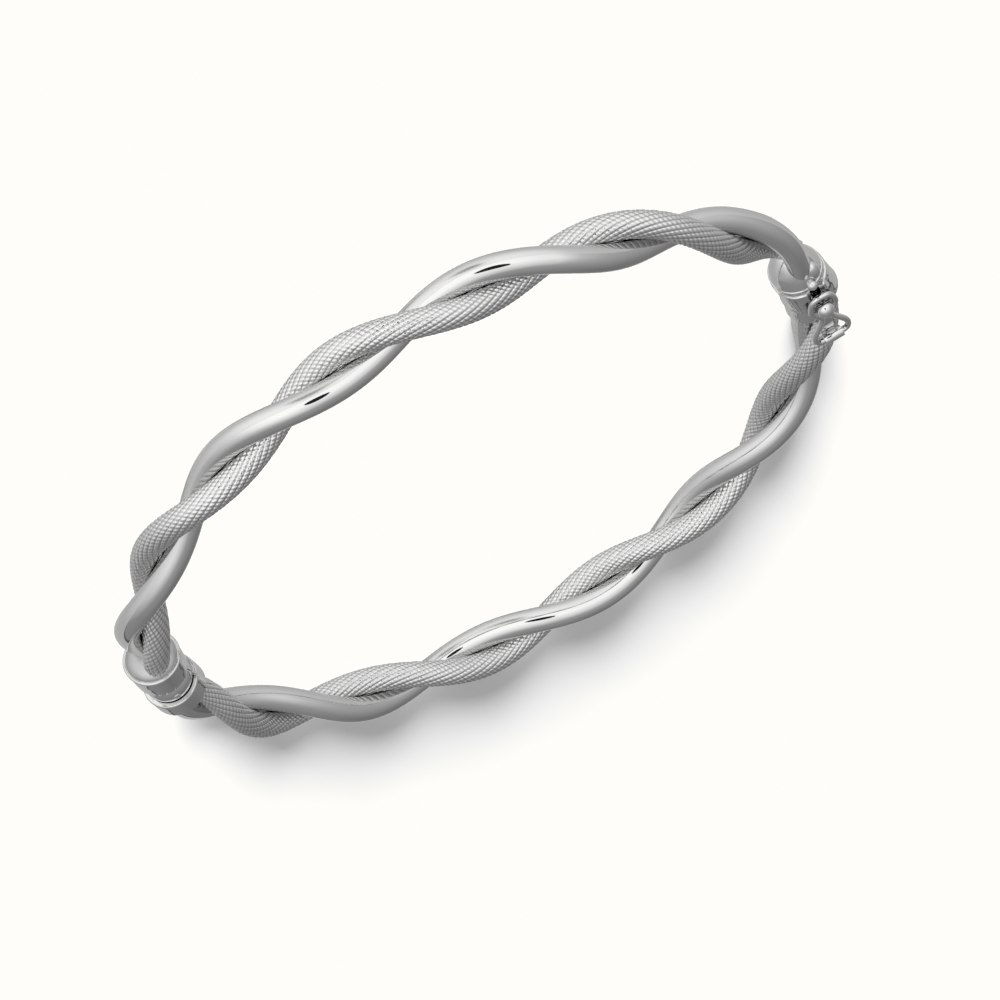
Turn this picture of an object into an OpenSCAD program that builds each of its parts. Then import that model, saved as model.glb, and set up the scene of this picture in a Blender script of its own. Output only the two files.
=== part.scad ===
// Oval hinged bangle of twisted tube, in millimetres, lying flat in the XY plane.
// The origin is the centre of the oval, half way up the tubes. +Z is up.
// The hinge is at -X and the clasp at +X. The tongue half runs between them on +Y,
// the box half on -Y. Each half is a polished and a textured tube twisted together.
// A station is a length along the middle of a half, counted from the hinge.

/* [Oval] */
// Half the oval's long way, to the middle of the tubes
oval_long = 31.5; // [27:0.1:38]
// Half the oval's short way, to the middle of the tubes
oval_short = 28.1; // [25:0.1:34]
// How far the hinge sits inside the end of the oval
hinge_inset = 0.6; // [0:0.05:1]

/* [Twisted tubes] */
// Radius of the polished tubes
polished_r = 1.11; // [0.95:0.01:1.25]
// Radius of the textured tubes
textured_r = 1.14; // [0.95:0.01:1.25]
// Gap between the two tubes of a half
tube_gap = 0.05; // [0.05:0.01:0.1]
// Turns of the tongue half's twist between hinge and clasp
tongue_turns = 3.865; // [2:0.001:6]
// Angle of the tongue half's polished tube at the hinge, 0 being outwards and 90 up
tongue_start = -154; // [-180:1:180]
// Turns of the box half's twist between hinge and clasp
box_turns = 3.886; // [2:0.001:6]
// Angle of the box half's polished tube at the hinge
box_start = 97; // [-180:1:180]
// Length over which a tube narrows into its cup or collar
taper_len = 5; // [3:0.5:8]

/* [Cups and collars] */
// Wall of a cup or collar round its tubes
cup_wall = 0.25; // [0.2:0.01:0.4]
// Gap between a cup and what it holds
seat_gap = 0.04; // [0.03:0.01:0.08]
// Depth to which the tubes go into a collar and the tongue half's hinge cup
seat_depth = 1.3; // [0.8:0.1:1.6]
// Depth to which they go into the box half's hinge cup
short_seat = 0.35; // [0.3:0.05:0.5]
// Share of their size that the tubes keep inside the tongue half's hinge cup
tongue_cup_share = 0.93; // [0.8:0.01:1]
// Share of their size that they keep in the box half's hinge cup
box_cup_share = 0.84; // [0.8:0.01:1]
// Share of their size that they keep in the tongue collar
tongue_collar_share = 0.9; // [0.8:0.01:1]
// Share of their size that they keep in the box collar
box_collar_share = 0.8; // [0.8:0.01:1]
// Radius of the wire rolled round the hinge cup's mouth
rim_r = 0.17; // [0.12:0.01:0.22]

/* [Hinge] */
// Radius of the hinge's round knuckle
knuckle_r = 2.15; // [2:0.05:2.4]
// Thickness of the middle knuckle
middle_knuckle = 1.5; // [1:0.1:1.8]
// Running gap of the hinge
hinge_gap = 0.08; // [0.05:0.01:0.12]
// Radius of the hinge pin
pin_r = 0.35; // [0.25:0.01:0.45]
// Running gap round the pin
pin_gap = 0.03; // [0.02:0.01:0.05]
// Distance from the pin to the lip of the box half's cup
lip_at = 0.75; // [0.6:0.05:0.9]
// Distance from the pin to the shoulder of the tongue half's cup
shoulder_at = 1.3; // [1.2:0.05:1.5]
// Distance from the pin to the mouth of the tongue half's cup
tongue_cup_end = 4.3; // [4.1:0.1:5]
// Distance from the pin to the mouth of the box half's cup
box_cup_end = 3.05; // [3:0.05:4]

/* [Clasp] */
// Distance from the oval's end to the seam, on the tongue half
seam_at = 2.45; // [2.2:0.05:2.7]
// Gap at the seam
seam_gap = 0.08; // [0.05:0.01:0.15]
// Length of the tongue collar from the seam
tongue_collar_len = 3.5; // [3.4:0.1:5]
// Length of the box collar from the seam
box_collar_len = 6; // [5.8:0.1:7]
// Outer radius of both collars at the seam
collar_r = 2.42; // [2.35:0.01:2.6]
// Distance of the collars' front from the middle of the tubes, outwards
collar_out = 0.1; // [0:0.01:0.2]
// Radius of the bead on either side of the seam
bead_r = 0.16; // [0.1:0.01:0.2]
// Length of the box collar's thick front ring
box_ring_len = 3.65; // [3:0.05:4]
// Width of the tongue
tongue_w = 2.2; // [1.8:0.1:2.4]
// Height of the folded tongue
tongue_h = 1.5; // [1.3:0.05:1.6]
// Thickness of the tongue's strip
strip_t = 0.35; // [0.3:0.01:0.4]
// Length of the tongue beyond the seam
tongue_len = 4; // [3.9:0.05:4.1]
// Gap round the tongue in the box
tongue_gap = 0.2; // [0.15:0.01:0.25]
// Radius of the thumb ball
ball_r = 0.67; // [0.55:0.01:0.75]
// Radius of the ball's stem
stem_r = 0.28; // [0.2:0.01:0.35]
// Distance from the seam to the ball
ball_at = 3.05; // [2.9:0.05:3.1]
// Distance of the ball from the middle of the collar, outwards
ball_out = 0.22; // [0:0.01:0.4]
// Height of the ball's centre above the middle of the collar
ball_up = 2.85; // [2.75:0.01:2.95]
// Gap round the ball in its notch
notch_gap = 0.13; // [0.1:0.01:0.2]

/* [Safety catch] */
// Radius of the catch's wire
wire_r = 0.27; // [0.22:0.01:0.29]
// Gap between the catch's loop and the ball
loop_gap = 0.1; // [0.08:0.01:0.14]
// Length from the ball to the far end of the loop
loop_end = 1.5; // [1.4:0.05:1.6]
// Half the width of the catch's wide loop
wide_loop = 1.5; // [1.4:0.01:1.7]
// Distance from the ball back to the catch's barrel
barrel_back = 5.3; // [5.1:0.05:5.6]
// Distance of the barrel from the middle of the tubes, outwards
barrel_out = 0.65; // [0.4:0.01:0.8]
// Height of the catch above the middle of the tubes
catch_up = 2.5; // [2.48:0.01:2.6]
// Length of the barrel
barrel_len = 1.7; // [1.4:0.1:1.9]
// Wall of the barrel
barrel_wall = 0.12; // [0.1:0.01:0.15]
// Width of the strap that carries the barrel
strap_w = 0.9; // [0.7:0.05:1.2]
// Thickness of the strap
strap_t = 0.2; // [0.15:0.01:0.22]
// Running gap of the wire in the barrel
barrel_gap = 0.04; // [0.03:0.01:0.05]

/* [Hidden] */
$fn = 64;

polished_metal = "gainsboro";
textured_metal = "silver";

// Sides and rings of a swept tube, and of the catch's wire
tube_sides = 14;
tube_rings = 76;
wire_sides = 8;
wire_steps = 4;

pair_out = (polished_r + textured_r + tube_gap) / 2;
pair_r = pair_out + max(polished_r, textured_r);
tongue_side = 1;
box_side = -1;

// Middle of a half for an angle that runs from 0 at the hinge to 180 at the clasp.
// The ellipse is flattened at the hinge, so that the two cups lie nearly in line.
function flat(t) = hinge_inset * pow(max(cos(t), 0), 30);
function oval_point(t) = [flat(t) - oval_long * cos(t), oval_short * sin(t)];
station_table = [for (i = 0, s = 0; i <= 180;
    s = s + norm(oval_point(i + 1) - oval_point(i)), i = i + 1) [s, i]];
half_len = station_table[180][0];

function middle(s, side) = let (p = oval_point(lookup(s, station_table))) [p.x, side * p.y, 0];
function outward(s, side) =
    let (t = lookup(s, station_table), d = oval_point(t + 0.5) - oval_point(t - 0.5),
        g = [-d.y, side * d.x, 0])
    g / norm(g);

// Middle of a tube: start is its angle at the hinge, share how far it has narrowed
function tube_point(s, side, start, turns, share) =
    let (f = start + side * 360 * turns * s / half_len)
    middle(s, side) + pair_out * share * (cos(f) * outward(s, side) + sin(f) * [0, 0, 1]);

// One ring of a sweep round point c, square to the direction of travel
function ring(c, ahead, r, sides) =
    let (t = ahead / norm(ahead), flat = cross([0, 0, 1], t), e = flat / norm(flat), f = cross(t, e))
    [for (k = [0:sides - 1]) c + r * (cos(360 * k / sides) * e + sin(360 * k / sides) * f)];

module sweep(path, radii, sides, closed = false) {
    n = len(path);
    points = [for (i = [0:n - 1])
        let (ahead = closed ? path[(i + 1) % n] - path[(i + n - 1) % n]
            : path[min(i + 1, n - 1)] - path[max(i - 1, 0)])
        each ring(path[i], ahead, radii[i], sides)];
    wall = [for (i = [0:closed ? n - 1 : n - 2], k = [0:sides - 1])
        let (a = i * sides, b = ((i + 1) % n) * sides, m = (k + 1) % sides)
        each [[a + k, b + k, b + m], [a + k, b + m, a + m]]];
    caps = closed ? [] : [[for (k = [0:sides - 1]) k],
        [for (k = [sides - 1:-1:0]) (n - 1) * sides + k]];
    polyhedron(points, concat(wall, caps));
}

// A tube of one half, from its seat in the hinge cup to its seat in the collar
module twisted_tube(r, side, start, turns, from, to, from_share, to_share) {
    narrowing = [[from + seat_depth, from_share], [from + seat_depth + taper_len, 1],
        [to - seat_depth - taper_len, 1], [to - seat_depth, to_share]];
    stations = [for (i = [0:tube_rings - 1]) from + (to - from) * i / (tube_rings - 1)];
    shares = [for (s = stations) lookup(s, narrowing)];
    path = [for (i = [0:tube_rings - 1])
        tube_point(stations[i], side, start, turns, shares[i])];
    sweep(path, [for (share = shares) r * share], tube_sides);
}

// Where each half's tubes start at the hinge and end at the clasp
tongue_from = tongue_cup_end - seat_depth;
tongue_to = half_len - seam_at - tongue_collar_len + seat_depth;
box_from = box_cup_end - short_seat;
box_to = half_len + seam_at - box_collar_len + seat_depth;

module tongue_half_polished_tube() {
    color(polished_metal)
        twisted_tube(polished_r, tongue_side, tongue_start, tongue_turns,
            tongue_from, tongue_to, tongue_cup_share, tongue_collar_share);
}

module tongue_half_textured_tube() {
    color(textured_metal)
        twisted_tube(textured_r, tongue_side, tongue_start + 180, tongue_turns,
            tongue_from, tongue_to, tongue_cup_share, tongue_collar_share);
}

module box_half_polished_tube() {
    color(polished_metal)
        twisted_tube(polished_r, box_side, box_start, box_turns,
            box_from, box_to, box_cup_share, box_collar_share);
}

module box_half_textured_tube() {
    color(textured_metal)
        twisted_tube(textured_r, box_side, box_start + 180, box_turns,
            box_from, box_to, box_cup_share, box_collar_share);
}

// Places children at a station: +Z outwards of the oval becomes local -Y, the run local +X
module at_station(s, side) {
    out = outward(s, side);
    translate(middle(s, side))
        rotate([0, 0, atan2(out.y, out.x) - side * 90])
        children();
}

// A body of revolution about the run of a half. Profile points are [station, radius].
module turned(s, side, profile) {
    at_station(s, side)
        rotate([0, 90, 0])
        rotate_extrude()
        polygon([for (p = profile) [p.y, p.x - s]]);
}

module hinge_place() {
    translate([hinge_inset - oval_long, 0, 0]) children();
}

// Bore of a cup or collar round tubes that have narrowed to a share of their size
function bore_r(share) = pair_r * share + seat_gap;

// How far a tube's slanting end reaches past its last station, with the gap behind it
end_room = seat_gap + textured_r * sin(atan(2 * PI * pair_out * max(tongue_turns, box_turns) / half_len));

// Tongue half's hinge cup: shell with a rolled mouth, and a round end slotted into two ears
tongue_cup_bore = bore_r(tongue_cup_share);
tongue_cup_r = tongue_cup_bore + cup_wall;
slot_h = middle_knuckle + 2 * hinge_gap;

module tongue_half_hinge_cup() {
    color(polished_metal)
        difference() {
            union() {
                turned(tongue_cup_end - seat_depth, tongue_side, [
                    [shoulder_at, 0], [shoulder_at, tongue_cup_r - cup_wall],
                    [shoulder_at + cup_wall, tongue_cup_r - cup_wall / 3],
                    [tongue_cup_end - rim_r, tongue_cup_r], [tongue_cup_end, tongue_cup_r],
                    [tongue_cup_end, tongue_cup_bore], [tongue_from - end_room, tongue_cup_bore],
                    [tongue_from - end_room, 0]]);
                turned_rim();
                hinge_place()
                    intersection() {
                        sphere(knuckle_r);
                        translate([-knuckle_r, -knuckle_r, -knuckle_r])
                            cube([2 * knuckle_r, knuckle_r + shoulder_at + cup_wall, 2 * knuckle_r]);
                    }
            }
            hinge_place() {
                translate([-3 * knuckle_r, -3 * knuckle_r, -slot_h / 2])
                    cube([6 * knuckle_r, 3 * knuckle_r + shoulder_at, slot_h]);
                cylinder(h = slot_h, r = knuckle_r + hinge_gap, center = true);
                cylinder(h = 3 * knuckle_r, r = pin_r + pin_gap, center = true);
            }
        }
}

// Wire rolled round the mouth of the tongue half's hinge cup
module turned_rim() {
    at_station(tongue_cup_end - seat_depth, tongue_side)
        translate([seat_depth - rim_r, 0, 0])
        rotate([0, 90, 0])
        rotate_extrude()
        translate([tongue_cup_r - rim_r / 2, 0])
        circle(r = rim_r, $fn = 24);
}

// Box half's hinge cup: a hollow round seat for the ears, with the middle knuckle in it
box_cup_bore = bore_r(box_cup_share);
box_lip_r = knuckle_r + hinge_gap + cup_wall;
ear_h = (2 * knuckle_r - middle_knuckle) / 2;

module box_half_hinge_cup() {
    color(polished_metal)
        difference() {
            union() {
                difference() {
                    turned(box_cup_end - short_seat, box_side, [
                        [lip_at, 0], [lip_at, box_lip_r - cup_wall / 3],
                        [lip_at + cup_wall / 3, box_lip_r], [box_from, box_lip_r],
                        [box_cup_end - cup_wall, box_cup_bore + cup_wall],
                        [box_cup_end, box_cup_bore + cup_wall / 2],
                        [box_cup_end, box_cup_bore], [box_from - end_room, box_cup_bore],
                        [box_from - end_room, 0]]);
                    hinge_place() sphere(knuckle_r + hinge_gap);
                }
                hinge_place()
                    intersection() {
                        union() {
                            cylinder(h = middle_knuckle, r = knuckle_r, center = true);
                            translate([-knuckle_r, -knuckle_r - 2 * hinge_gap, -middle_knuckle / 2])
                                cube([2 * knuckle_r, knuckle_r + 2 * hinge_gap, middle_knuckle]);
                        }
                        union() {
                            sphere(knuckle_r);
                            translate([0, -lip_at, 0])
                                rotate([90, 0, 0])
                                cylinder(h = knuckle_r, r = knuckle_r + 2 * hinge_gap);
                        }
                    }
            }
            hinge_place()
                cylinder(h = 3 * knuckle_r, r = pin_r + pin_gap, center = true);
        }
}

// Hinge pin, riveted flush with the tops of the ears
module hinge_pin() {
    color(polished_metal)
        hinge_place()
        intersection() {
            cylinder(h = 3 * knuckle_r, r = pin_r, center = true);
            sphere(knuckle_r + rim_r / 2);
        }
}

// Front end of a collar: a body of revolution a little outwards of the tubes, with a bead.
// The profile's places are lengths from the seam, away from it.
module collar_front(side, profile) {
    turn = side > 0 ? -90 : 90;
    translate([oval_long + collar_out, seam_at, 0])
        rotate([turn, 0, 0]) {
            rotate_extrude() polygon(profile);
            rotate_extrude()
                translate([collar_r - bead_r / 2, 3 * bead_r])
                circle(r = bead_r, $fn = 24);
        }
}

// Tongue collar: round ferrule with a slot for the foot of the tongue
tongue_collar_bore = bore_r(tongue_collar_share);
tongue_mouth = half_len - seam_at - tongue_collar_len;
tongue_foot = tongue_collar_len - seat_depth - end_room - cup_wall;
tongue_front = tongue_collar_len / 3;

module tongue_collar() {
    color(polished_metal)
        difference() {
            union() {
                collar_front(tongue_side, [[0, seam_gap / 2], [collar_r - bead_r, seam_gap / 2],
                    [collar_r - bead_r / 2, 2 * bead_r], [collar_r, 4 * bead_r],
                    [collar_r, tongue_front], [0, tongue_front]]);
                turned(half_len - seam_at - tongue_collar_len / 2, tongue_side, [
                    [tongue_mouth, tongue_collar_bore],
                    [tongue_mouth, tongue_collar_bore + cup_wall / 2],
                    [tongue_mouth + cup_wall, tongue_collar_bore + cup_wall],
                    [tongue_mouth + seat_depth, collar_r + bead_r / 2],
                    [half_len - seam_at - tongue_front, collar_r],
                    [half_len - seam_at - tongue_front / 2, collar_r - cup_wall],
                    [half_len - seam_at - tongue_front / 2, 0],
                    [tongue_to + end_room, 0], [tongue_to + end_room, tongue_collar_bore]]);
            }
            tongue_bar(seat_gap, -seam_at, seam_at + tongue_foot);
        }
}

// The tongue's lower strip, grown by a gap, between two places along Y
module tongue_bar(gap, low, high) {
    translate([oval_long - tongue_w / 2 - gap, low, -tongue_h / 2 - gap])
        cube([tongue_w + 2 * gap, high - low, strip_t + 2 * gap]);
}

// Spring tongue: a strip folded back on itself, with the stem and the thumb ball soldered on
tongue_nose = seam_at - tongue_len;
loop_half = ball_r + loop_gap + wire_r;
ball_y = seam_at - ball_at;

module spring_tongue() {
    color(polished_metal) {
        fold_r = tongue_h / 2;
        top_end = ball_y + stem_r + strip_t;
        tongue_bar(0, tongue_nose + fold_r, seam_at + tongue_foot - seat_gap);
        translate([oval_long - tongue_w / 2, tongue_nose + fold_r, 0])
            rotate([90, 0, 90])
            linear_extrude(tongue_w)
            difference() {
                circle(fold_r);
                circle(fold_r - strip_t);
                translate([0, -2 * fold_r]) square(4 * fold_r);
            }
        translate([oval_long - tongue_w / 2, tongue_nose + fold_r, fold_r - strip_t])
            cube([tongue_w, top_end - tongue_nose - fold_r, strip_t]);
        translate([oval_long + ball_out, ball_y, fold_r - strip_t / 2])
            cylinder(h = ball_up - fold_r, r = stem_r);
        translate([oval_long + ball_out, ball_y, ball_up])
            sphere(ball_r);
    }
}

// Box collar: thick front ring over the tongue's box, a neck that takes the tubes,
// and a strap from the neck that carries the catch's barrel over the tubes
box_collar_bore = bore_r(box_collar_share);
box_mouth = half_len + seam_at - box_collar_len;
box_ring_end = half_len + seam_at - box_ring_len;
well_r = loop_half + wire_r + notch_gap;
well_floor = ball_up - ball_r - notch_gap;
well_long = loop_end + wire_r + notch_gap - well_r;

module box_collar() {
    color(polished_metal)
        difference() {
            union() {
                collar_front(box_side, [[0, seam_gap / 2], [collar_r - bead_r, seam_gap / 2],
                    [collar_r - bead_r / 2, 2 * bead_r], [collar_r, 4 * bead_r],
                    [collar_r, box_ring_len - bead_r / 2], [collar_r - bead_r / 2, box_ring_len],
                    [0, box_ring_len]]);
                turned(box_mouth + seat_depth, box_side, [
                    [box_mouth, box_collar_bore],
                    [box_mouth, box_collar_bore + cup_wall / 3],
                    [box_mouth + cup_wall / 2, box_collar_bore + cup_wall],
                    [box_ring_end + bead_r, collar_r - 2 * bead_r],
                    [box_ring_end + bead_r, 0],
                    [box_to + end_room, 0], [box_to + end_room, box_collar_bore]]);
                barrel_and_strap();
            }
            tongue_room();
            ball_notch();
            catch_place()
                rotate([0, 90, 0])
                cylinder(h = 2 * barrel_len, r = barrel_bore, center = true);
        }
}

module barrel_and_strap() {
    catch_place() {
        rotate([0, 90, 0])
            cylinder(h = barrel_len, r = barrel_r, center = true);
        translate([-strap_w / 2, -barrel_r / 2, -barrel_r - strap_t / 2])
            cube([strap_w, barrel_r / 2 + catch_reach - well_r, strap_t]);
    }
}

// Room for the tongue inside the box
module tongue_room() {
    translate([oval_long - tongue_w / 2 - tongue_gap, tongue_nose - tongue_gap,
            -tongue_h / 2 - tongue_gap])
        cube([tongue_w + 2 * tongue_gap, 2 * tongue_len, tongue_h + 2 * tongue_gap]);
}

// Slot for the stem through the box's top, wider where the ball slides, and the round
// well in which the catch's loop lies
module ball_notch() {
    for (cut = [[stem_r + notch_gap, 0], [ball_r + notch_gap, well_floor]])
        translate([oval_long + ball_out, ball_y, cut[1]]) {
            cylinder(h = 2 * collar_r, r = cut[0]);
            translate([-cut[0], 0, 0]) cube([2 * cut[0], 2 * tongue_len, 2 * collar_r]);
        }
    translate([oval_long + ball_out, ball_y, well_floor]) {
        cylinder(h = 2 * collar_r, r = well_r);
        translate([-well_r, 0, 0]) cube([2 * well_r, well_long, 2 * collar_r]);
        translate([0, well_long, 0]) cylinder(h = 2 * collar_r, r = well_r);
    }
}

// The catch lies in its own frame: origin in the barrel, +Y towards the ball, X along the barrel
barrel_station = half_len - barrel_back + ball_y;
barrel_place = middle(barrel_station, box_side) + barrel_out * outward(barrel_station, box_side);
ball_place = [oval_long + ball_out, ball_y, 0];
catch_reach = norm(ball_place - barrel_place);
barrel_bore = wire_r + barrel_gap;
barrel_r = barrel_bore + barrel_wall;

module catch_place() {
    to_ball = ball_place - barrel_place;
    translate([barrel_place.x, barrel_place.y, catch_up])
        rotate([0, 0, atan2(to_ball.y, to_ball.x) - 90])
        children();
}

// Safety catch: one wire in a figure of eight, through the barrel and round the ball.
// Half its outline is in the table, each row a share of the width and a place along Y.
catch_rows = [
    [barrel_len / 2, 0],
    [wide_loop * 0.95, 0],
    [wide_loop * 1.12, 0.16 * catch_reach],
    [wide_loop * 0.85, 0.36 * catch_reach],
    [wire_r * 1.1, catch_reach - 1.95 * loop_half],
    [wire_r * 1.9, catch_reach - 1.35 * loop_half],
    [loop_half * 1.12, catch_reach - 0.4 * loop_half],
    [loop_half * 1.12, catch_reach + loop_end - 1.3 * loop_half],
    [loop_half * 0.85, catch_reach + loop_end - 0.1 * loop_half]];

// Point of a closed uniform cubic spline with corner points p, at a share t of span i
function spline_point(p, i, t) =
    let (n = len(p), a = p[i % n], b = p[(i + 1) % n], c = p[(i + 2) % n], d = p[(i + 3) % n])
    (pow(1 - t, 3) * a + (3 * pow(t, 3) - 6 * t * t + 4) * b
        + (-3 * pow(t, 3) + 3 * t * t + 3 * t + 1) * c + pow(t, 3) * d) / 6;

module safety_catch() {
    rows = len(catch_rows);
    corners = concat(
        [for (r = catch_rows) [r[0], r[1], 0]],
        [[0, catch_reach + loop_end + 0.1 * loop_half, 0]],
        [for (i = [rows - 1:-1:0]) [-catch_rows[i][0], catch_rows[i][1], 0]],
        [[0, 0, 0]]);
    path = [for (i = [0:len(corners) - 1], k = [0:wire_steps - 1])
        spline_point(corners, i, k / wire_steps)];
    color(polished_metal)
        catch_place()
        sweep(path, [for (p = path) wire_r], wire_sides, closed = true);
}

tongue_half_polished_tube();
tongue_half_textured_tube();
box_half_polished_tube();
box_half_textured_tube();
tongue_half_hinge_cup();
box_half_hinge_cup();
hinge_pin();
tongue_collar();
spring_tongue();
box_collar();
safety_catch();
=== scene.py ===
import bmesh
import bpy
import math
import numpy as np
from mathutils import Matrix, Vector


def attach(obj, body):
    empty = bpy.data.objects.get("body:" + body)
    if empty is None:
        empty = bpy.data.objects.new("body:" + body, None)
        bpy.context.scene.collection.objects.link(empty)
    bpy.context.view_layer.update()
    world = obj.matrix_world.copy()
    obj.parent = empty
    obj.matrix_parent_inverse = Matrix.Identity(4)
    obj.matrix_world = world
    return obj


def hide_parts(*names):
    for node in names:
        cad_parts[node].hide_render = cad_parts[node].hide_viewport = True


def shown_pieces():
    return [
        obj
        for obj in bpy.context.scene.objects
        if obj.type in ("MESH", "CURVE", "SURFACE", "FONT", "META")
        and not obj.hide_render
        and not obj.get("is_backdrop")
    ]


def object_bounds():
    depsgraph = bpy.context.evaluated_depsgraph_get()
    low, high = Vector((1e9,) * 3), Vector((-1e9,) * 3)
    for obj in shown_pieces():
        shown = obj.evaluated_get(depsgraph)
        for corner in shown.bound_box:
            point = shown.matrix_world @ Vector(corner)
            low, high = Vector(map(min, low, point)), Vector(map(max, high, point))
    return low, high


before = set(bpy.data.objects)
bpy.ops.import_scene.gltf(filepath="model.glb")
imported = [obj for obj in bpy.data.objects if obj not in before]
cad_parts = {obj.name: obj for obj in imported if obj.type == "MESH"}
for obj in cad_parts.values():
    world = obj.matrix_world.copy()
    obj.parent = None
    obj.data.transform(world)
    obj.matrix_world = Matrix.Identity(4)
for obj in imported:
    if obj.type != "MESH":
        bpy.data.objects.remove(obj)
cad_low, cad_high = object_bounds()

# Camera
# It looks down on the bangle from beyond the tongue half, rolled so that the hinge is low on
# the left and the clasp high on the right, through a long lens from 350 mm away.
azimuth, elevation, roll = math.radians(178.0), math.radians(28.336), math.radians(210.799)
camera_distance = 0.35026
toward = Vector((math.sin(azimuth) * math.cos(elevation),
                 -math.cos(azimuth) * math.cos(elevation),
                 math.sin(elevation)))
across = Vector((math.cos(azimuth), math.sin(azimuth), 0))
above = toward.cross(across)
picture_right = math.cos(roll) * across - math.sin(roll) * above
picture_up = math.sin(roll) * across + math.cos(roll) * above
camera = bpy.data.objects.new("camera", bpy.data.cameras.new("camera"))
bpy.context.scene.collection.objects.link(camera)
camera.data.sensor_width = 36
camera.data.lens = 151.58
camera.data.shift_x = 0.01819
camera.data.shift_y = -0.01842
camera.data.clip_start = 0.01
camera.data.clip_end = 20
place = Matrix((picture_right, picture_up, toward)).transposed().to_4x4()
place.translation = toward * camera_distance
camera.matrix_world = place
bpy.context.scene.camera = camera

# Table
# A wide sheet of white paper, on which the bangle lies on its side. It is lit past white, and
# the picture's own white is very slightly warm. The metal mirrors a second sheet instead, a
# hair above the first, which is mostly glossy and glows a little.
settings = bpy.context.scene.view_settings
settings.view_transform = "Standard"
settings.look = "None"
settings.use_curve_mapping = True
picture_white, knee = (0.9911, 0.9823, 0.9473), 0.85
for channel, white in enumerate(picture_white):
    curve = settings.curve_mapping.curves[channel]
    curve.points[-1].location = (1, white)
    curve.points.new(knee, knee)
    for point in curve.points:
        point.handle_type = "VECTOR"
settings.curve_mapping.extend = "HORIZONTAL"
settings.curve_mapping.update()


def even_grey(level):
    """A colour without a tint."""
    return (level, level, level, 1)


paper = bpy.data.materials.new("paper")
paper.use_nodes = True
nodes, links = paper.node_tree.nodes, paper.node_tree.links
shader = nodes["Principled BSDF"]
shader.inputs["Roughness"].default_value = 0.9
shader.inputs["Specular IOR Level"].default_value = 0.0
spot = nodes.new("ShaderNodeTexCoord")
grain = nodes.new("ShaderNodeTexNoise")
grain.inputs["Scale"].default_value = 900
tint = nodes.new("ShaderNodeMix")
tint.data_type = "RGBA"
tint.inputs["A"].default_value = (0.795, 0.795, 0.793, 1)
tint.inputs["B"].default_value = (0.805, 0.805, 0.803, 1)
links.new(spot.outputs["Object"], grain.inputs["Vector"])
links.new(grain.outputs["Fac"], tint.inputs["Factor"])
links.new(tint.outputs["Result"], shader.inputs["Base Color"])
acrylic = bpy.data.materials.new("glossy_acrylic")
acrylic.use_nodes = True
nodes, links = acrylic.node_tree.nodes, acrylic.node_tree.links
nodes.remove(nodes["Principled BSDF"])
glow = nodes.new("ShaderNodeEmission")
glow.inputs["Strength"].default_value = 1.2
gloss = nodes.new("ShaderNodeBsdfGlossy")
gloss.inputs["Color"].default_value = even_grey(0.95)
gloss.inputs["Roughness"].default_value = 0.25
blend = nodes.new("ShaderNodeMixShader")
blend.inputs["Fac"].default_value = 0.7
links.new(glow.outputs["Emission"], blend.inputs[1])
links.new(gloss.outputs["BSDF"], blend.inputs[2])
links.new(blend.outputs["Shader"], nodes["Material Output"].inputs["Surface"])
sheets = []
for name, below, finish in (("table", 0.00003, paper), ("mirrored_table", 0.00002, acrylic)):
    sheet = bmesh.new()
    bmesh.ops.create_grid(sheet, x_segments=4, y_segments=4, size=6)
    bmesh.ops.translate(sheet, verts=sheet.verts, vec=(0, 0, cad_low.z - below))
    table_mesh = bpy.data.meshes.new(name)
    sheet.to_mesh(table_mesh)
    sheet.free()
    laid = bpy.data.objects.new(name, table_mesh)
    laid.data.materials.append(finish)
    bpy.context.scene.collection.objects.link(laid)
    laid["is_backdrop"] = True
    sheets.append(laid)
table, mirrored_table = sheets
table.visible_glossy = False
table.visible_diffuse = False
mirrored_table.visible_camera = False
mirrored_table.visible_shadow = False
mirrored_table.visible_diffuse = False

# Studio
# A white tent, open at the back. Its wall is brightest behind the camera, dims round both sides
# and overhead, and is dark beyond the bangle, darkest in a low band where the table ends. Dull
# surfaces are lit by an even white in its place.
world = bpy.data.worlds.new("tent")
bpy.context.scene.world = world
world.use_nodes = True
world.cycles.sampling_method = "NONE"
nodes, links = world.node_tree.nodes, world.node_tree.links
look = nodes.new("ShaderNodeTexCoord")
axes = nodes.new("ShaderNodeSeparateXYZ")
turn = nodes.new("ShaderNodeMath")
turn.operation = "ARCTAN2"
round_tent = nodes.new("ShaderNodeMapRange")
round_tent.inputs["From Min"].default_value = -math.pi
round_tent.inputs["From Max"].default_value = math.pi
side_wall = nodes.new("ShaderNodeValToRGB")
side_wall.color_ramp.elements[0].color = even_grey(0.15)
side_wall.color_ramp.elements[1].color = even_grey(0.15)
wall_levels = ((-150, 0.2), (-112, 0.24), (-90, 0.40), (-70, 0.60), (-52, 0.84), (-30, 1.0),
               (12, 0.99), (34, 0.88), (54, 0.78), (72, 0.50), (92, 0.36), (112, 0.29),
               (135, 0.22), (158, 0.17))
for degrees, level in wall_levels:
    stop = side_wall.color_ramp.elements.new((degrees + 180) / 360)
    stop.color = even_grey(level)
overhead = nodes.new("ShaderNodeValToRGB")
overhead.color_ramp.elements[0].position = 0.5
overhead.color_ramp.elements[0].color = even_grey(0)
overhead.color_ramp.elements[1].color = even_grey(1)
for height, level in ((0.669, 0.18), (0.809, 0.33), (0.914, 0.52), (0.978, 0.74)):
    stop = overhead.color_ramp.elements.new(height)
    stop.color = even_grey(level)
roof = nodes.new("ShaderNodeMix")
roof.data_type = "RGBA"
roof.inputs["B"].default_value = even_grey(0.31)
low_band = nodes.new("ShaderNodeValToRGB")
low_band.color_ramp.elements[0].position = 0.035
low_band.color_ramp.elements[0].color = even_grey(0.3)
low_band.color_ramp.elements[1].position = 0.06
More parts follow.
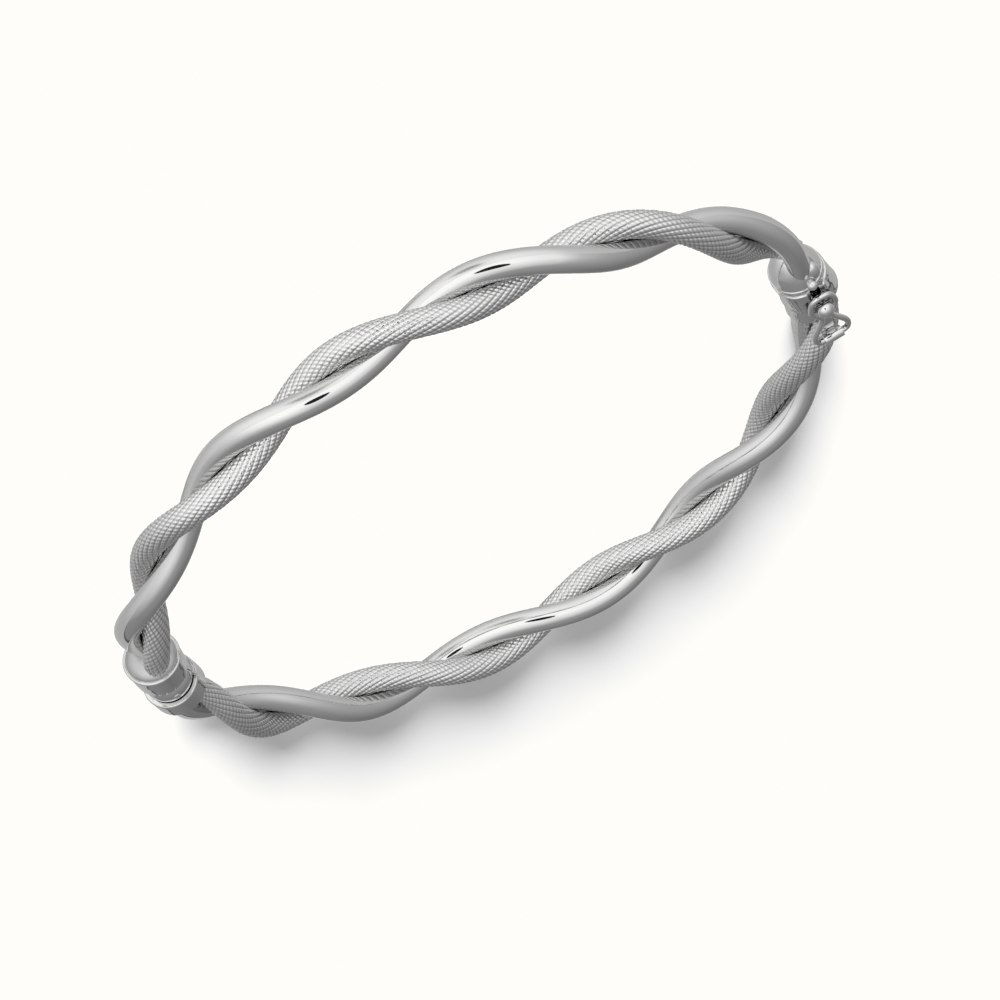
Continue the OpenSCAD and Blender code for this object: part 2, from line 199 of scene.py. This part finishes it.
low_band.color_ramp.elements[1].color = even_grey(1)
beyond = nodes.new("ShaderNodeMapRange")
beyond.inputs["From Min"].default_value = -0.3
beyond.inputs["From Max"].default_value = -0.8
table_edge = nodes.new("ShaderNodeMix")
table_edge.data_type = "RGBA"
table_edge.blend_type = "MULTIPLY"
tent = nodes["Background"]
tent.inputs["Strength"].default_value = 1.6
fill = nodes.new("ShaderNodeBackground")
fill.inputs["Color"].default_value = even_grey(1)
fill.inputs["Strength"].default_value = 0.45
path = nodes.new("ShaderNodeLightPath")
choose = nodes.new("ShaderNodeMixShader")
links.new(look.outputs["Generated"], axes.inputs["Vector"])
links.new(axes.outputs["X"], turn.inputs[0])
links.new(axes.outputs["Y"], turn.inputs[1])
links.new(turn.outputs["Value"], round_tent.inputs["Value"])
links.new(round_tent.outputs["Result"], side_wall.inputs["Fac"])
links.new(axes.outputs["Z"], overhead.inputs["Fac"])
links.new(overhead.outputs["Color"], roof.inputs["Factor"])
links.new(side_wall.outputs["Color"], roof.inputs["A"])
links.new(axes.outputs["Z"], low_band.inputs["Fac"])
links.new(axes.outputs["Y"], beyond.inputs["Value"])
links.new(beyond.outputs["Result"], table_edge.inputs["Factor"])
links.new(roof.outputs["Result"], table_edge.inputs["A"])
links.new(low_band.outputs["Color"], table_edge.inputs["B"])
links.new(table_edge.outputs["Result"], tent.inputs["Color"])
links.new(path.outputs["Is Diffuse Ray"], choose.inputs["Fac"])
links.new(tent.outputs["Background"], choose.inputs[1])
links.new(fill.outputs["Background"], choose.inputs[2])
links.new(choose.outputs["Shader"], nodes["World Output"].inputs["Surface"])

# Key light
# One broad soft lamp, low behind the camera, lights the paper alone. Only the box half's tubes
# throw its shadow, because the photograph has none inside the bangle.
key = bpy.data.objects.new("key", bpy.data.lights.new("key", "SUN"))
bpy.context.scene.collection.objects.link(key)
key_from = Vector((0.12, 1.0, 0.15)).normalized()
light_on_paper = 3.19
key.data.energy = light_on_paper / key_from.z
key.data.angle = math.radians(25)
key.rotation_mode = "QUATERNION"
key.rotation_quaternion = key_from.to_track_quat("Z", "Y")
key.visible_glossy = False
lit = bpy.data.collections.new("key_lights")
lit.objects.link(table)
key.light_linking.receiver_collection = lit
shadow_casters = bpy.data.collections.new("shadow_casters")
key.light_linking.blocker_collection = shadow_casters

# Dark lens
# The black front of the photographer's camera, taller than wide, which the polished crests
# mirror as a short streak.
black = bpy.data.materials.new("lens_black")
black.use_nodes = True
shader = black.node_tree.nodes["Principled BSDF"]
shader.inputs["Base Color"].default_value = even_grey(0.004)
shader.inputs["Roughness"].default_value = 0.6
lens_distance, lens_half_width, lens_half_height = 0.362, 0.050, 0.080
sideways = Vector((-1, 0, 0))
stand = Matrix((sideways, toward.cross(sideways).normalized(), toward)).transposed().to_4x4()
stand.translation = toward * lens_distance
front = bmesh.new()
bmesh.ops.create_circle(front, cap_ends=True, segments=48, radius=1)
bmesh.ops.transform(front, verts=front.verts,
                    matrix=stand @ Matrix.Diagonal((lens_half_width, lens_half_height, 1, 1)))
front_mesh = bpy.data.meshes.new("dark_lens")
front.to_mesh(front_mesh)
front.free()
dark_lens = bpy.data.objects.new("dark_lens", front_mesh)
dark_lens.data.materials.append(black)
bpy.context.scene.collection.objects.link(dark_lens)
dark_lens.visible_camera = False
dark_lens.visible_diffuse = False
dark_lens.visible_shadow = False
dark_lens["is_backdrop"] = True

# Polished tubes
# Thin round white-gold tube, drawn, polished and twisted with its textured partner. The two
# tubes of a half wind round the oval's middle line and narrow a little into cup and collar.
oval_long, oval_short, hinge_inset = 0.0315, 0.0281, 0.0006
polished_r, textured_r, tube_gap = 0.00111, 0.00114, 0.00005
pair_out = (polished_r + textured_r + tube_gap) / 2
taper_length, seat_depth = 0.005, 0.0013
tongue_start, box_start = 0.0030, 0.0027
clasp_shift, shift_length, shift_ease = np.array([[0.0004, 0, -0.0001]]), 0.009, 0.007
polished_proud, polished_rings, polished_sides = 0.000012, 420, 56


def oval_point(turn):
    """The upper half of the oval's middle line, from the hinge at 0 to the clasp at pi."""
    flat = hinge_inset * max(math.cos(turn), 0) ** 30
    return Vector((flat - oval_long * math.cos(turn), oval_short * math.sin(turn), 0))


turns = [math.radians(i / 4) for i in range(721)]
stations = [0.0]
for before, after in zip(turns, turns[1:]):
    stations.append(stations[-1] + (oval_point(after) - oval_point(before)).length)
half_length = stations[-1]


def turn_at(station):
    """A station is a length along the middle line from the hinge."""
    return float(np.interp(station, stations, turns))


def middle(station, side):
    """The point of the middle line at a station, on one side of the oval."""
    point = oval_point(turn_at(station))
    return Vector((point.x, side * point.y, 0))


def outward(station, side):
    """The level direction away from the oval's inside at a station."""
    turn, step = turn_at(station), 0.008
    run = oval_point(turn + step) - oval_point(turn - step)
    return Vector((-run.y, side * run.x, 0)).normalized()


# The source's values for each half: side of the oval, angle of the polished tube at the
# hinge, turns of the twist, where the tubes start and end, the share they narrow to, and how
# much further they sink into the collar's dome
halves = {
    "tongue": (1, -154, 3.865, tongue_start, half_length - 0.00465, 0.93, 0.9, 0.0013),
    "box": (-1, 97, 3.886, box_start, half_length - 0.00225, 0.84, 0.8, 0.0),
}


def wind(half_name, offset, count):
    """Rings of a wound tube: centres, two directions, share of size, partner's angle, station."""
    side, start, twist, begin, end, begin_share, end_share, sunk = halves[half_name]
    at = np.linspace(begin, end + sunk, count)
    narrowing = [begin + seat_depth, begin + seat_depth + taper_length,
                 end - seat_depth - taper_length, end - seat_depth]
    share = np.interp(at, narrowing, [begin_share, 1, 1, end_share])
    angle = (np.radians(start + offset) + side * 2 * math.pi * twist * at / half_length)[:, None]
    outside = np.array([outward(s, side) for s in at.tolist()])
    ahead = np.array([middle(s, side) for s in at.tolist()])
    away = np.cos(angle) * outside + np.sin(angle) * np.array([[0, 0, 1]])
    centres = ahead + pair_out * share[:, None] * away
    near_clasp = np.clip((at - end + shift_length) / shift_ease, 0, 1)[:, None]
    centres += clasp_shift * near_clasp * near_clasp * (3 - 2 * near_clasp)
    run = np.gradient(centres, axis=0)
    run /= np.linalg.norm(run, axis=1)[:, None]
    level = np.cross([[0, 0, 1]], run)
    level /= np.linalg.norm(level, axis=1)[:, None]
    lift = np.cross(run, level)
    partner = np.arctan2(-(away * lift).sum(1), -(away * level).sum(1))
    return centres, level, lift, share, partner, at


def draw_tube(name, rings, radius, sides, relief=None, deepest=1):
    """A straight tube, cut into rings and with its relief, then bent along its own line."""
    centres, level, lift, share, partner, at = rings
    tube = bmesh.new()
    bmesh.ops.create_cone(tube, cap_ends=True, segments=sides, radius1=1, radius2=1, depth=1)
    lengths = [e for e in tube.edges if abs(e.verts[0].co.z - e.verts[1].co.z) > 0.5]
    bmesh.ops.subdivide_edges(tube, edges=lengths, cuts=len(at) - 2)
    for face in tube.faces:
        face.smooth = True
    mesh = bpy.data.meshes.new(name)
    tube.to_mesh(mesh)
    tube.free()
    spots = np.empty(len(mesh.vertices) * 3)
    mesh.vertices.foreach_get("co", spots)
    spots = spots.reshape(-1, 3)
    ring = np.rint((spots[:, 2] + 0.5) * (len(at) - 1)).astype(int)
    reach = np.full(len(ring), radius)
    if relief:
        reach -= relief(np.arctan2(spots[:, 1], spots[:, 0]) - partner[ring], at[ring])
    reach *= share[ring]
    around = spots[:, :1] * level[ring] + spots[:, 1:2] * lift[ring]
    mesh.vertices.foreach_set("co", (centres[ring] + reach[:, None] * around).ravel())
    mesh.update()
    # The groove depth is kept on the mesh, so the material can paint shade into the grooves with it.
    if relief:
        depth = mesh.attributes.new("groove", "FLOAT", "POINT")
        depth.data.foreach_set("value", np.clip((radius - reach / share[ring]) / deepest, 0, 1))
    made = bpy.data.objects.new(name, mesh)
    bpy.context.scene.collection.objects.link(made)
    return made


def white_gold(name, grey, rough, wear, bump_strength=0.03, bump_depth=0.00002,
               marks_scale=2600, marks_detail=3):
    """Rhodium-plated white gold: bright metal with faint polishing marks and rub."""
    made = bpy.data.materials.new(name)
    made.use_nodes = True
    nodes, links = made.node_tree.nodes, made.node_tree.links
    shader = nodes["Principled BSDF"]
    shader.inputs["Metallic"].default_value = 1.0
    coords = nodes.new("ShaderNodeTexCoord")
    cloud = nodes.new("ShaderNodeTexNoise")
    cloud.inputs["Scale"].default_value = 420
    cloud.inputs["Detail"].default_value = 5
    level = nodes.new("ShaderNodeMapRange")
    level.inputs["To Min"].default_value = rough - wear
    level.inputs["To Max"].default_value = rough + wear
    marks = nodes.new("ShaderNodeTexNoise")
    marks.inputs["Scale"].default_value = marks_scale
    marks.inputs["Detail"].default_value = marks_detail
    bump = nodes.new("ShaderNodeBump")
    bump.inputs["Strength"].default_value = bump_strength
    bump.inputs["Distance"].default_value = bump_depth
    tone = nodes.new("ShaderNodeMix")
    tone.data_type = "RGBA"
    tone.inputs["A"].default_value = (grey * 0.97, grey * 0.97, grey * 0.965, 1)
    tone.inputs["B"].default_value = (grey * 1.03, grey * 1.03, grey * 1.02, 1)
    links.new(coords.outputs["Object"], cloud.inputs["Vector"])
    links.new(coords.outputs["Object"], marks.inputs["Vector"])
    links.new(cloud.outputs["Fac"], level.inputs["Value"])
    links.new(cloud.outputs["Fac"], tone.inputs["Factor"])
    links.new(level.outputs["Result"], shader.inputs["Roughness"])
    links.new(tone.outputs["Result"], shader.inputs["Base Color"])
    links.new(marks.outputs["Fac"], bump.inputs["Height"])
    links.new(bump.outputs["Normal"], shader.inputs["Normal"])
    return made


bright = white_gold("polished_white_gold", 0.60, 0.05, 0.02)
for half_name in halves:
    rings = wind(half_name, 0, polished_rings)
    tube = draw_tube(half_name + "_polished", rings, polished_r + polished_proud, polished_sides)
    tube.data.materials.append(bright)
    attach(tube, half_name + "_half")
    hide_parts(half_name + "_half_polished_tube")

# Textured tubes
# The same tube, diamond-cut all over before twisting: two families of fine grooves cross and
# leave small bright cells. Twisting with the partner turned one family nearly along the tube.
cells_round, cell_length, groove_depth, cells_proud = 15, 0.00068, 0.00013, 0.000025
cut_rings, cut_sides = 780, 120
groove_share, uncut_half, uncut_fade = 0.4, 0.25, 0.3
dished, grooved = 0.3, 0.7


def diamond_cut(around, station):
    """How deep the surface is cut, at an angle from the contact with the partner."""
    u = around / (2 * math.pi) * cells_round
    v = station / cell_length
    first = np.abs((u + v) % 1.0 - 0.5) * 2
    second = np.abs((u - v) % 1.0 - 0.5) * 2
    dish = (first ** 2 + second ** 2) / 2
    groove = np.clip((np.maximum(first, second) - (1 - groove_share)) / groove_share, 0, 1)
    uncut = np.clip((np.abs(around) - uncut_half) / uncut_fade, 0, 1)
    return uncut * groove_depth * (dished * dish + grooved * groove) - cells_proud


cut = white_gold("diamond_cut_white_gold", 0.64, 0.09, 0.03)
nodes, links = cut.node_tree.nodes, cut.node_tree.links
# Painted shade in the grooves: the metal's colour is mixed towards near-black by each point's groove
# depth.
depth = nodes.new("ShaderNodeAttribute")
depth.attribute_name = "groove"
groove_shade_share = nodes.new("ShaderNodeMapRange")
groove_shade_share.inputs["From Min"].default_value = 0.25
groove_shade_share.inputs["From Max"].default_value = 0.8
groove_shade_share.inputs["To Min"].default_value = 0.0
groove_shade_share.inputs["To Max"].default_value = 0.9
painted_groove_shade = nodes.new("ShaderNodeMix")
painted_groove_shade.data_type = "RGBA"
painted_groove_shade.inputs["B"].default_value = even_grey(0.08)
metal_colour = nodes["Principled BSDF"].inputs["Base Color"]
plain = metal_colour.links[0].from_socket
links.new(depth.outputs["Fac"], groove_shade_share.inputs["Value"])
links.new(groove_shade_share.outputs["Result"], painted_groove_shade.inputs["Factor"])
links.new(plain, painted_groove_shade.inputs["A"])
links.new(painted_groove_shade.outputs["Result"], metal_colour)
for half_name in halves:
    rings = wind(half_name, 180, cut_rings)
    tube = draw_tube(half_name + "_textured", rings, textured_r, cut_sides, diamond_cut, groove_depth)
    tube.data.materials.append(cut)
    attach(tube, half_name + "_half")
    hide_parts(half_name + "_half_textured_tube")

# Hinge cups
# Two cast cups of the same metal, which take the narrowed tubes at the hinge. The tongue half's
# has a mouth rolled over a wire and two ears; both mouths are run full of solder round the tubes.
cast = white_gold("cast_white_gold", 0.60, 0.07, 0.02, bump_strength=0.7, bump_depth=0.00007,
                  marks_scale=750, marks_detail=1.5)
solder = white_gold("solder_white_gold", 0.45, 0.34, 0.08, bump_strength=0.5)
sharp_angle = math.radians(38)


def shape(name, work, body, metal=cast):
    """A finished fitting: its mesh, its metal and the body it rides on."""
    for face in work.faces:
        face.smooth = True
    mesh = bpy.data.meshes.new(name)
    work.to_mesh(mesh)
    work.free()
    mesh.set_sharp_from_angle(angle=sharp_angle)
    made = bpy.data.objects.new(name, mesh)
    bpy.context.scene.collection.objects.link(made)
    made.data.materials.append(metal)
    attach(made, body)
    return made


def softened(node, width, body, cuts=(), change=None):
    """A casting from the source, its edges rubbed round, then cut finer and changed if asked."""
    work = bmesh.new()
    work.from_mesh(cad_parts[node].data)
    bmesh.ops.remove_doubles(work, verts=work.verts, dist=0.000002)
    bmesh.ops.dissolve_degenerate(work, edges=work.edges, dist=0.000002)
    bmesh.ops.dissolve_limit(work, angle_limit=math.radians(1), verts=work.verts, edges=work.edges)
    hard = [e for e in work.edges if e.is_convex and e.calc_face_angle(0) > sharp_angle]
    bmesh.ops.bevel(work, geom=hard, offset=width, segments=2, profile=0.5, affect="EDGES",
                    material=-1, clamp_overlap=True)
    if cuts:
        bmesh.ops.triangulate(work, faces=work.faces[:])
    for point, normal in cuts:
        bmesh.ops.bisect_plane(work, geom=work.verts[:] + work.edges[:] + work.faces[:],
                               plane_co=point, plane_no=normal, dist=0.0000005)
    if change:
        change(work)
    made = shape(node + "_polished", work, body)
    even = made.modifiers.new("even_shading", "WEIGHTED_NORMAL")
    even.keep_sharp = True
    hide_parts(node)
    return made


def turned(profile, place, sides=96):
    """A lathe-turned form: pairs of length along the axis and radius, set at its place."""
    work = bmesh.new()
    points = [work.verts.new((radius, 0, along)) for along, radius in profile]
    edges = [work.edges.new(pair) for pair in zip(points, points[1:])]
    bmesh.ops.spin(work, geom=points + edges, cent=(0, 0, 0), axis=(0, 0, 1), angle=2 * math.pi,
                   steps=sides, use_merge=True)
    bmesh.ops.remove_doubles(work, verts=work.verts, dist=0.000001)
    bmesh.ops.recalc_face_normals(work, faces=work.faces)
    bmesh.ops.transform(work, matrix=place, verts=work.verts)
    return work


def bead(along, reach, radius, first=-180, last=180, steps=24):
    """Points of a round bead's section, for a profile."""
    angles = [math.radians(first + (last - first) * i / steps) for i in range(steps + 1)]
    return [(along - radius * math.cos(a), reach + radius * math.sin(a)) for a in angles]


def at_station(station, side):
    """The place of a fitting: its axis runs on along the half from this station."""
    step = 0.0001
    run = (middle(station + step, side) - middle(station - step, side)).normalized()
    matrix = Matrix((Vector((0, 0, 1)), run.cross(Vector((0, 0, 1))), run)).transposed().to_4x4()
    matrix.translation = middle(station, side)
    return matrix


softened("tongue_half_hinge_cup", 0.00005, "tongue_half")
softened("box_half_hinge_cup", 0.00004, "box_half")
cup_side = [(-0.00168, 0.00198), (-0.0017, 0.00204), (-0.00167, 0.00211), (-0.00153, 0.00221),
            (-0.00128, 0.00233), (-0.0011, 0.00236), (-0.0006, 0.00239), (0.0009, 0.002432),
            (0.0011, 0.002432), (0.0011, 0.00236), (0.0, 0.0023), (-0.0012, 0.00222),
            (-0.00164, 0.00201), (-0.00168, 0.00198)]
shape("tongue_cup_side", turned(cup_side, at_station(tongue_start, 1)), "tongue_half")
lip_side = [(-0.00193, 0.00237), (-0.00196, 0.0024), (-0.00194, 0.00244), (-0.00186, 0.002485),
            (-0.0017, 0.00249), (0.0, 0.00249), (0.00003, 0.00243), (-0.0018, 0.0024),
            (-0.00193, 0.00237)]
shape("box_cup_side", turned(lip_side, at_station(box_start, -1)), "box_half")
rolled_rim = bead(0.00113, 0.002335, 0.000178)
shape("tongue_cup_rolled_rim", turned(rolled_rim, at_station(tongue_start, 1)), "tongue_half")
hinge_axis = Matrix.Translation((hinge_inset - oval_long, 0, 0))
ear_r, slot_half = 0.002158, 0.000835
ear = [(slot_half, 0.0), (slot_half, 0.00194), (slot_half + 0.00001, 0.00196)]
ear += [(ear_r * math.sin(math.radians(a)), ear_r * math.cos(math.radians(a)))
        for a in range(24, 90, 3)]
ear += [(ear_r, 0.0)]
for name, tilt in (("upper_ear", 0), ("lower_ear", math.pi)):
    shape(name, turned(ear, hinge_axis @ Matrix.Rotation(tilt, 4, "X")), "tongue_half")
cup_fill = [(0.0004, 0.0), (0.0004, 0.00226), (0.00125, 0.00226), (0.0014, 0.0022),
            (0.0016, 0.00205), (0.0018, 0.00182), (0.00196, 0.0015), (0.00206, 0.0011),
            (0.0021, 0.0006), (0.00211, 0.0)]
shape("tongue_cup_solder", turned(cup_fill, at_station(tongue_start, 1)), "tongue_half", solder)
lip_fill = [(0.0, 0.0), (0.0, 0.00196), (0.0002, 0.00195), (0.00034, 0.0018),
            (0.00046, 0.0014), (0.00052, 0.0008), (0.00054, 0.0)]
shape("box_cup_solder", turned(lip_fill, at_station(box_start - 0.0001, -1)), "box_half", solder)

# Hinge pin
# A drawn white-gold pin through ears and knuckle. Its ends are riveted round in the ears and
# polished flush, so it moves with the tongue half.
rivet = [(-0.002235, 0.0), (-0.00222, 0.00018), (-0.00217, 0.0003), (-0.0021, 0.00035),
         (0.0021, 0.00035), (0.00217, 0.0003), (0.00222, 0.00018), (0.002235, 0.0)]
pin = shape("hinge_pin_rivet", turned(rivet, hinge_axis, 48), "tongue_half", bright)
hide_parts("hinge_pin")

# Tongue collar
# A round-shouldered cap over the tubes' ends at the clasp, cast and polished, with a bead round
# its front. The tubes sink into its dome, which leans with them towards the oval's inside.
seam, ring_axis, stem_aside = 0.00245, oval_long + 0.0001, 0.00012
cap_front = [(0.00004, 0.0), (0.00004, 0.00205), (0.00007, 0.00212), (0.00014, 0.00217),
             (0.0002, 0.00219)]
cap_bead = bead(0.00034, 0.0022, 0.00013, 10, 170)
cap_dome = [(0.0006, 0.00218), (0.00085, 0.00212), (0.0011, 0.00205), (0.0015, 0.0019),
            (0.0018, 0.00177), (0.0021, 0.00161), (0.0024, 0.00142), (0.0027, 0.00119),
            (0.00295, 0.00092), (0.00315, 0.00058), (0.00323, 0.00025), (0.00325, 0.0)]
along_clasp = Matrix.Translation((ring_axis, seam, 0)) @ Matrix.Rotation(-math.pi / 2, 4, "X")
lean_at = [-0.0045, -0.003, -0.0012, 0, 0.0015, 0.0033]
lean_by = [0, 0, 0.00018, 0.00034, 0.0004, 0.0002]
swell_at = [-0.0068, -0.0062, -0.0048, -0.0038, 0, 0.001]
swell_by = [1, 1.06, 1.06, 1.02, 0.96, 1]


def leaning(work):
    """The clasp leans towards the oval's inside at the seam, and its box swells behind it.
    The room for the tongue within the box and the notch for its stem stay where they are."""
    for v in work.verts:
        beyond = v.co.y - seam
        aside = v.co.x - ring_axis
        lean = np.interp(beyond, lean_at, lean_by)
        swell = np.interp(beyond, swell_at, swell_by)
        if beyond > 0:
            swell, share = 1, 1
        else:
            share = np.interp(math.hypot(aside, v.co.z), [0.0016, 0.0022], [0, 1])
            if v.co.z > 0:
                share *= np.interp(abs(aside - stem_aside), [0.0009, 0.0015], [0, 1])
        v.co.x += float(share * (aside * (swell - 1) - lean))


cap = turned(cap_front + cap_bead + cap_dome, along_clasp)
leaning(cap)
cap = shape("tongue_collar_cap", cap, "tongue_half")
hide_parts("tongue_collar")
lumps = (("tongue_collar_boss", (0.03226, 0.0036, 0.00138), 0.00072, 1.5),
         ("tongue_collar_bead", (0.03167, 0.00297, 0.00222), 0.00048, 1.0))
for name, centre, radius, length in lumps:
    lump = bmesh.new()
    bmesh.ops.create_uvsphere(lump, u_segments=48, v_segments=32, radius=radius)
    bmesh.ops.scale(lump, verts=lump.verts, vec=(1, length, 1))
    bmesh.ops.translate(lump, verts=lump.verts, vec=centre)
    shape(name, lump, "tongue_half")

# Spring tongue
# A strip of springy white gold folded back on itself. A stem on its upper leaf comes up through
# the box's slot and carries the polished thumb ball.
softened("spring_tongue", 0.00003, "tongue_half")
ball_r, stem_r, ball_place = 0.00076, 0.0003, (oval_long + 0.00022, seam - 0.00305, 0.00285)
stem_and_ball = [(-0.0022, 0.0), (-0.0022, stem_r), (-0.00095, stem_r), (-0.00076, 0.00034)]
stem_and_ball += [(-ball_r * math.cos(math.radians(a)), ball_r * math.sin(math.radians(a)))
                  for a in range(30, 180, 5)]
stem_and_ball += [(ball_r, 0.0)]
shape("thumb_ball", turned(stem_and_ball, Matrix.Translation(ball_place), 64), "tongue_half", bright)

# Box collar
# The clasp's box: a round collar with a bead round its front, a well round the ball, and a neck
# that takes the box half's tubes. A strap from the neck carries the safety catch's barrel.
cuts = [((0, seam - 0.0002 - 0.00035 * i, 0), (0, 1, 0)) for i in range(18)]
cuts += [((ring_axis + stem_aside + aside, 0, 0), (1, 0, 0))
         for aside in (-0.0015, -0.0013, -0.0011, -0.0009, 0.0009, 0.0011, 0.0013, 0.0015)]
softened("box_collar", 0.00004, "box_half", cuts, leaning)
band_start, band_sweep = math.radians(131), math.radians(278)
ring_side = [(0.00056, 0.00234), (0.00062, 0.002405), (0.0007, 0.00243), (0.0033, 0.00243),
             (0.0034, 0.00244), (0.00346, 0.00248), (0.00354, 0.0025), (0.00362, 0.00247),
             (0.00367, 0.0024), (0.00369, 0.0023), (0.00366, 0.00221), (0.0035, 0.0022),
             (0.0006, 0.0023)]
band = bmesh.new()
section = [band.verts.new((reach * math.cos(band_start), seam - along, reach * math.sin(band_start)))
           for along, reach in ring_side]
outline = [band.edges.new(pair) for pair in zip(section, section[1:] + section[:1])]
bmesh.ops.spin(band, geom=section + outline, cent=(0, 0, 0), axis=(0, -1, 0), angle=band_sweep,
               steps=100)
bmesh.ops.holes_fill(band, edges=[e for e in band.edges if e.is_boundary], sides=0)
bmesh.ops.recalc_face_normals(band, faces=band.faces)
bmesh.ops.translate(band, verts=band.verts, vec=(ring_axis, 0, 0))
leaning(band)
shape("box_collar_side", band, "box_half")
neck_fill = [(0.0, 0.0), (0.00002, 0.0008), (0.0001, 0.0013), (0.00024, 0.0017),
             (0.00045, 0.00187), (0.0007, 0.00188), (0.0007, 0.0)]
neck_mouth = at_station(half_length - 0.0036, -1)
shape("box_collar_solder", turned(neck_fill, neck_mouth), "box_half", solder)
catch_pivot, catch_turn = (0.031443, -0.005997, 0.0025), math.radians(-2.938)
catch_frame = Matrix.Translation(catch_pivot) @ Matrix.Rotation(catch_turn, 4, "Z")
along_barrel = catch_frame @ Matrix.Rotation(math.pi / 2, 4, "Y")
barrel = [(-0.0008, 0.00031), (-0.00087, 0.00034), (-0.00089, 0.00042), (-0.00087, 0.00047),
          (-0.0008, 0.0005), (0.0008, 0.0005), (0.00087, 0.00047), (0.00089, 0.00042),
          (0.00087, 0.00034), (0.0008, 0.00031), (-0.0008, 0.00031)]
shape("catch_barrel", turned(barrel, along_barrel, 48), "box_half", bright)

# Safety catch
# One round wire bent into a figure of eight, its ends soldered inside the barrel, where it
# turns. The small loop lies in the box's well round the ball.
wire_r, wide_loop, reach, loop_half, loop_end = 0.00027, 0.0015, 0.005404, 0.00104, 0.0015
one_side = [(0.00085, 0),
            (wide_loop * 0.95, 0),
            (wide_loop * 1.12, 0.16 * reach),
            (wide_loop * 0.85, 0.36 * reach),
            (wire_r * 1.1, reach - 1.95 * loop_half),
            (wire_r * 1.9, reach - 1.35 * loop_half),
            (loop_half * 1.12, reach - 0.4 * loop_half),
            (loop_half * 1.12, reach + loop_end - 1.3 * loop_half),
            (loop_half * 0.85, reach + loop_end - 0.1 * loop_half)]
tip = [(0, reach + loop_end + 0.1 * loop_half)]
other_side = [(-x, y) for x, y in reversed(one_side)]
corners = np.array(one_side + tip + other_side + [(0, 0)])
# A closed smooth curve is led by four corners at a time, with these shares
t = np.arange(0, 1, 1 / 14)[:, None]
shares = [(1 - t) ** 3, 3 * t ** 3 - 6 * t ** 2 + 4, -3 * t ** 3 + 3 * t ** 2 + 3 * t + 1, t ** 3]
stretches = [sum(share * corners[(i + j) % len(corners)] for j, share in enumerate(shares)) / 6
             for i in range(len(corners))]
line = np.concatenate(stretches + [stretches[0][:1]])
run = np.gradient(np.concatenate([line[-2:-1], line, line[1:2]]), axis=0)[1:-1]
run /= np.linalg.norm(run, axis=1)[:, None]
wire = bmesh.new()
bmesh.ops.create_cone(wire, cap_ends=False, segments=24, radius1=1, radius2=1, depth=1)
lengths = [e for e in wire.edges if abs(e.verts[0].co.z - e.verts[1].co.z) > 0.5]
bmesh.ops.subdivide_edges(wire, edges=lengths, cuts=len(line) - 2)
for v in wire.verts:
    i = round((v.co.z + 0.5) * (len(line) - 1))
    offset = v.co.x * wire_r
    v.co = (line[i][0] + run[i][1] * offset, line[i][1] - run[i][0] * offset, v.co.y * wire_r)
bmesh.ops.remove_doubles(wire, verts=wire.verts, dist=0.000002)
bmesh.ops.recalc_face_normals(wire, faces=wire.faces)
bmesh.ops.transform(wire, matrix=catch_frame, verts=wire.verts)
catch = shape("safety_catch_wire", wire, "safety_catch", bright)
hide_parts("safety_catch")

# Of all the pieces, only the box half's tubes stop the key light
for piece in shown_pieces():
    if piece.name in ("box_polished", "box_textured"):
        shadow_casters.objects.link(piece)
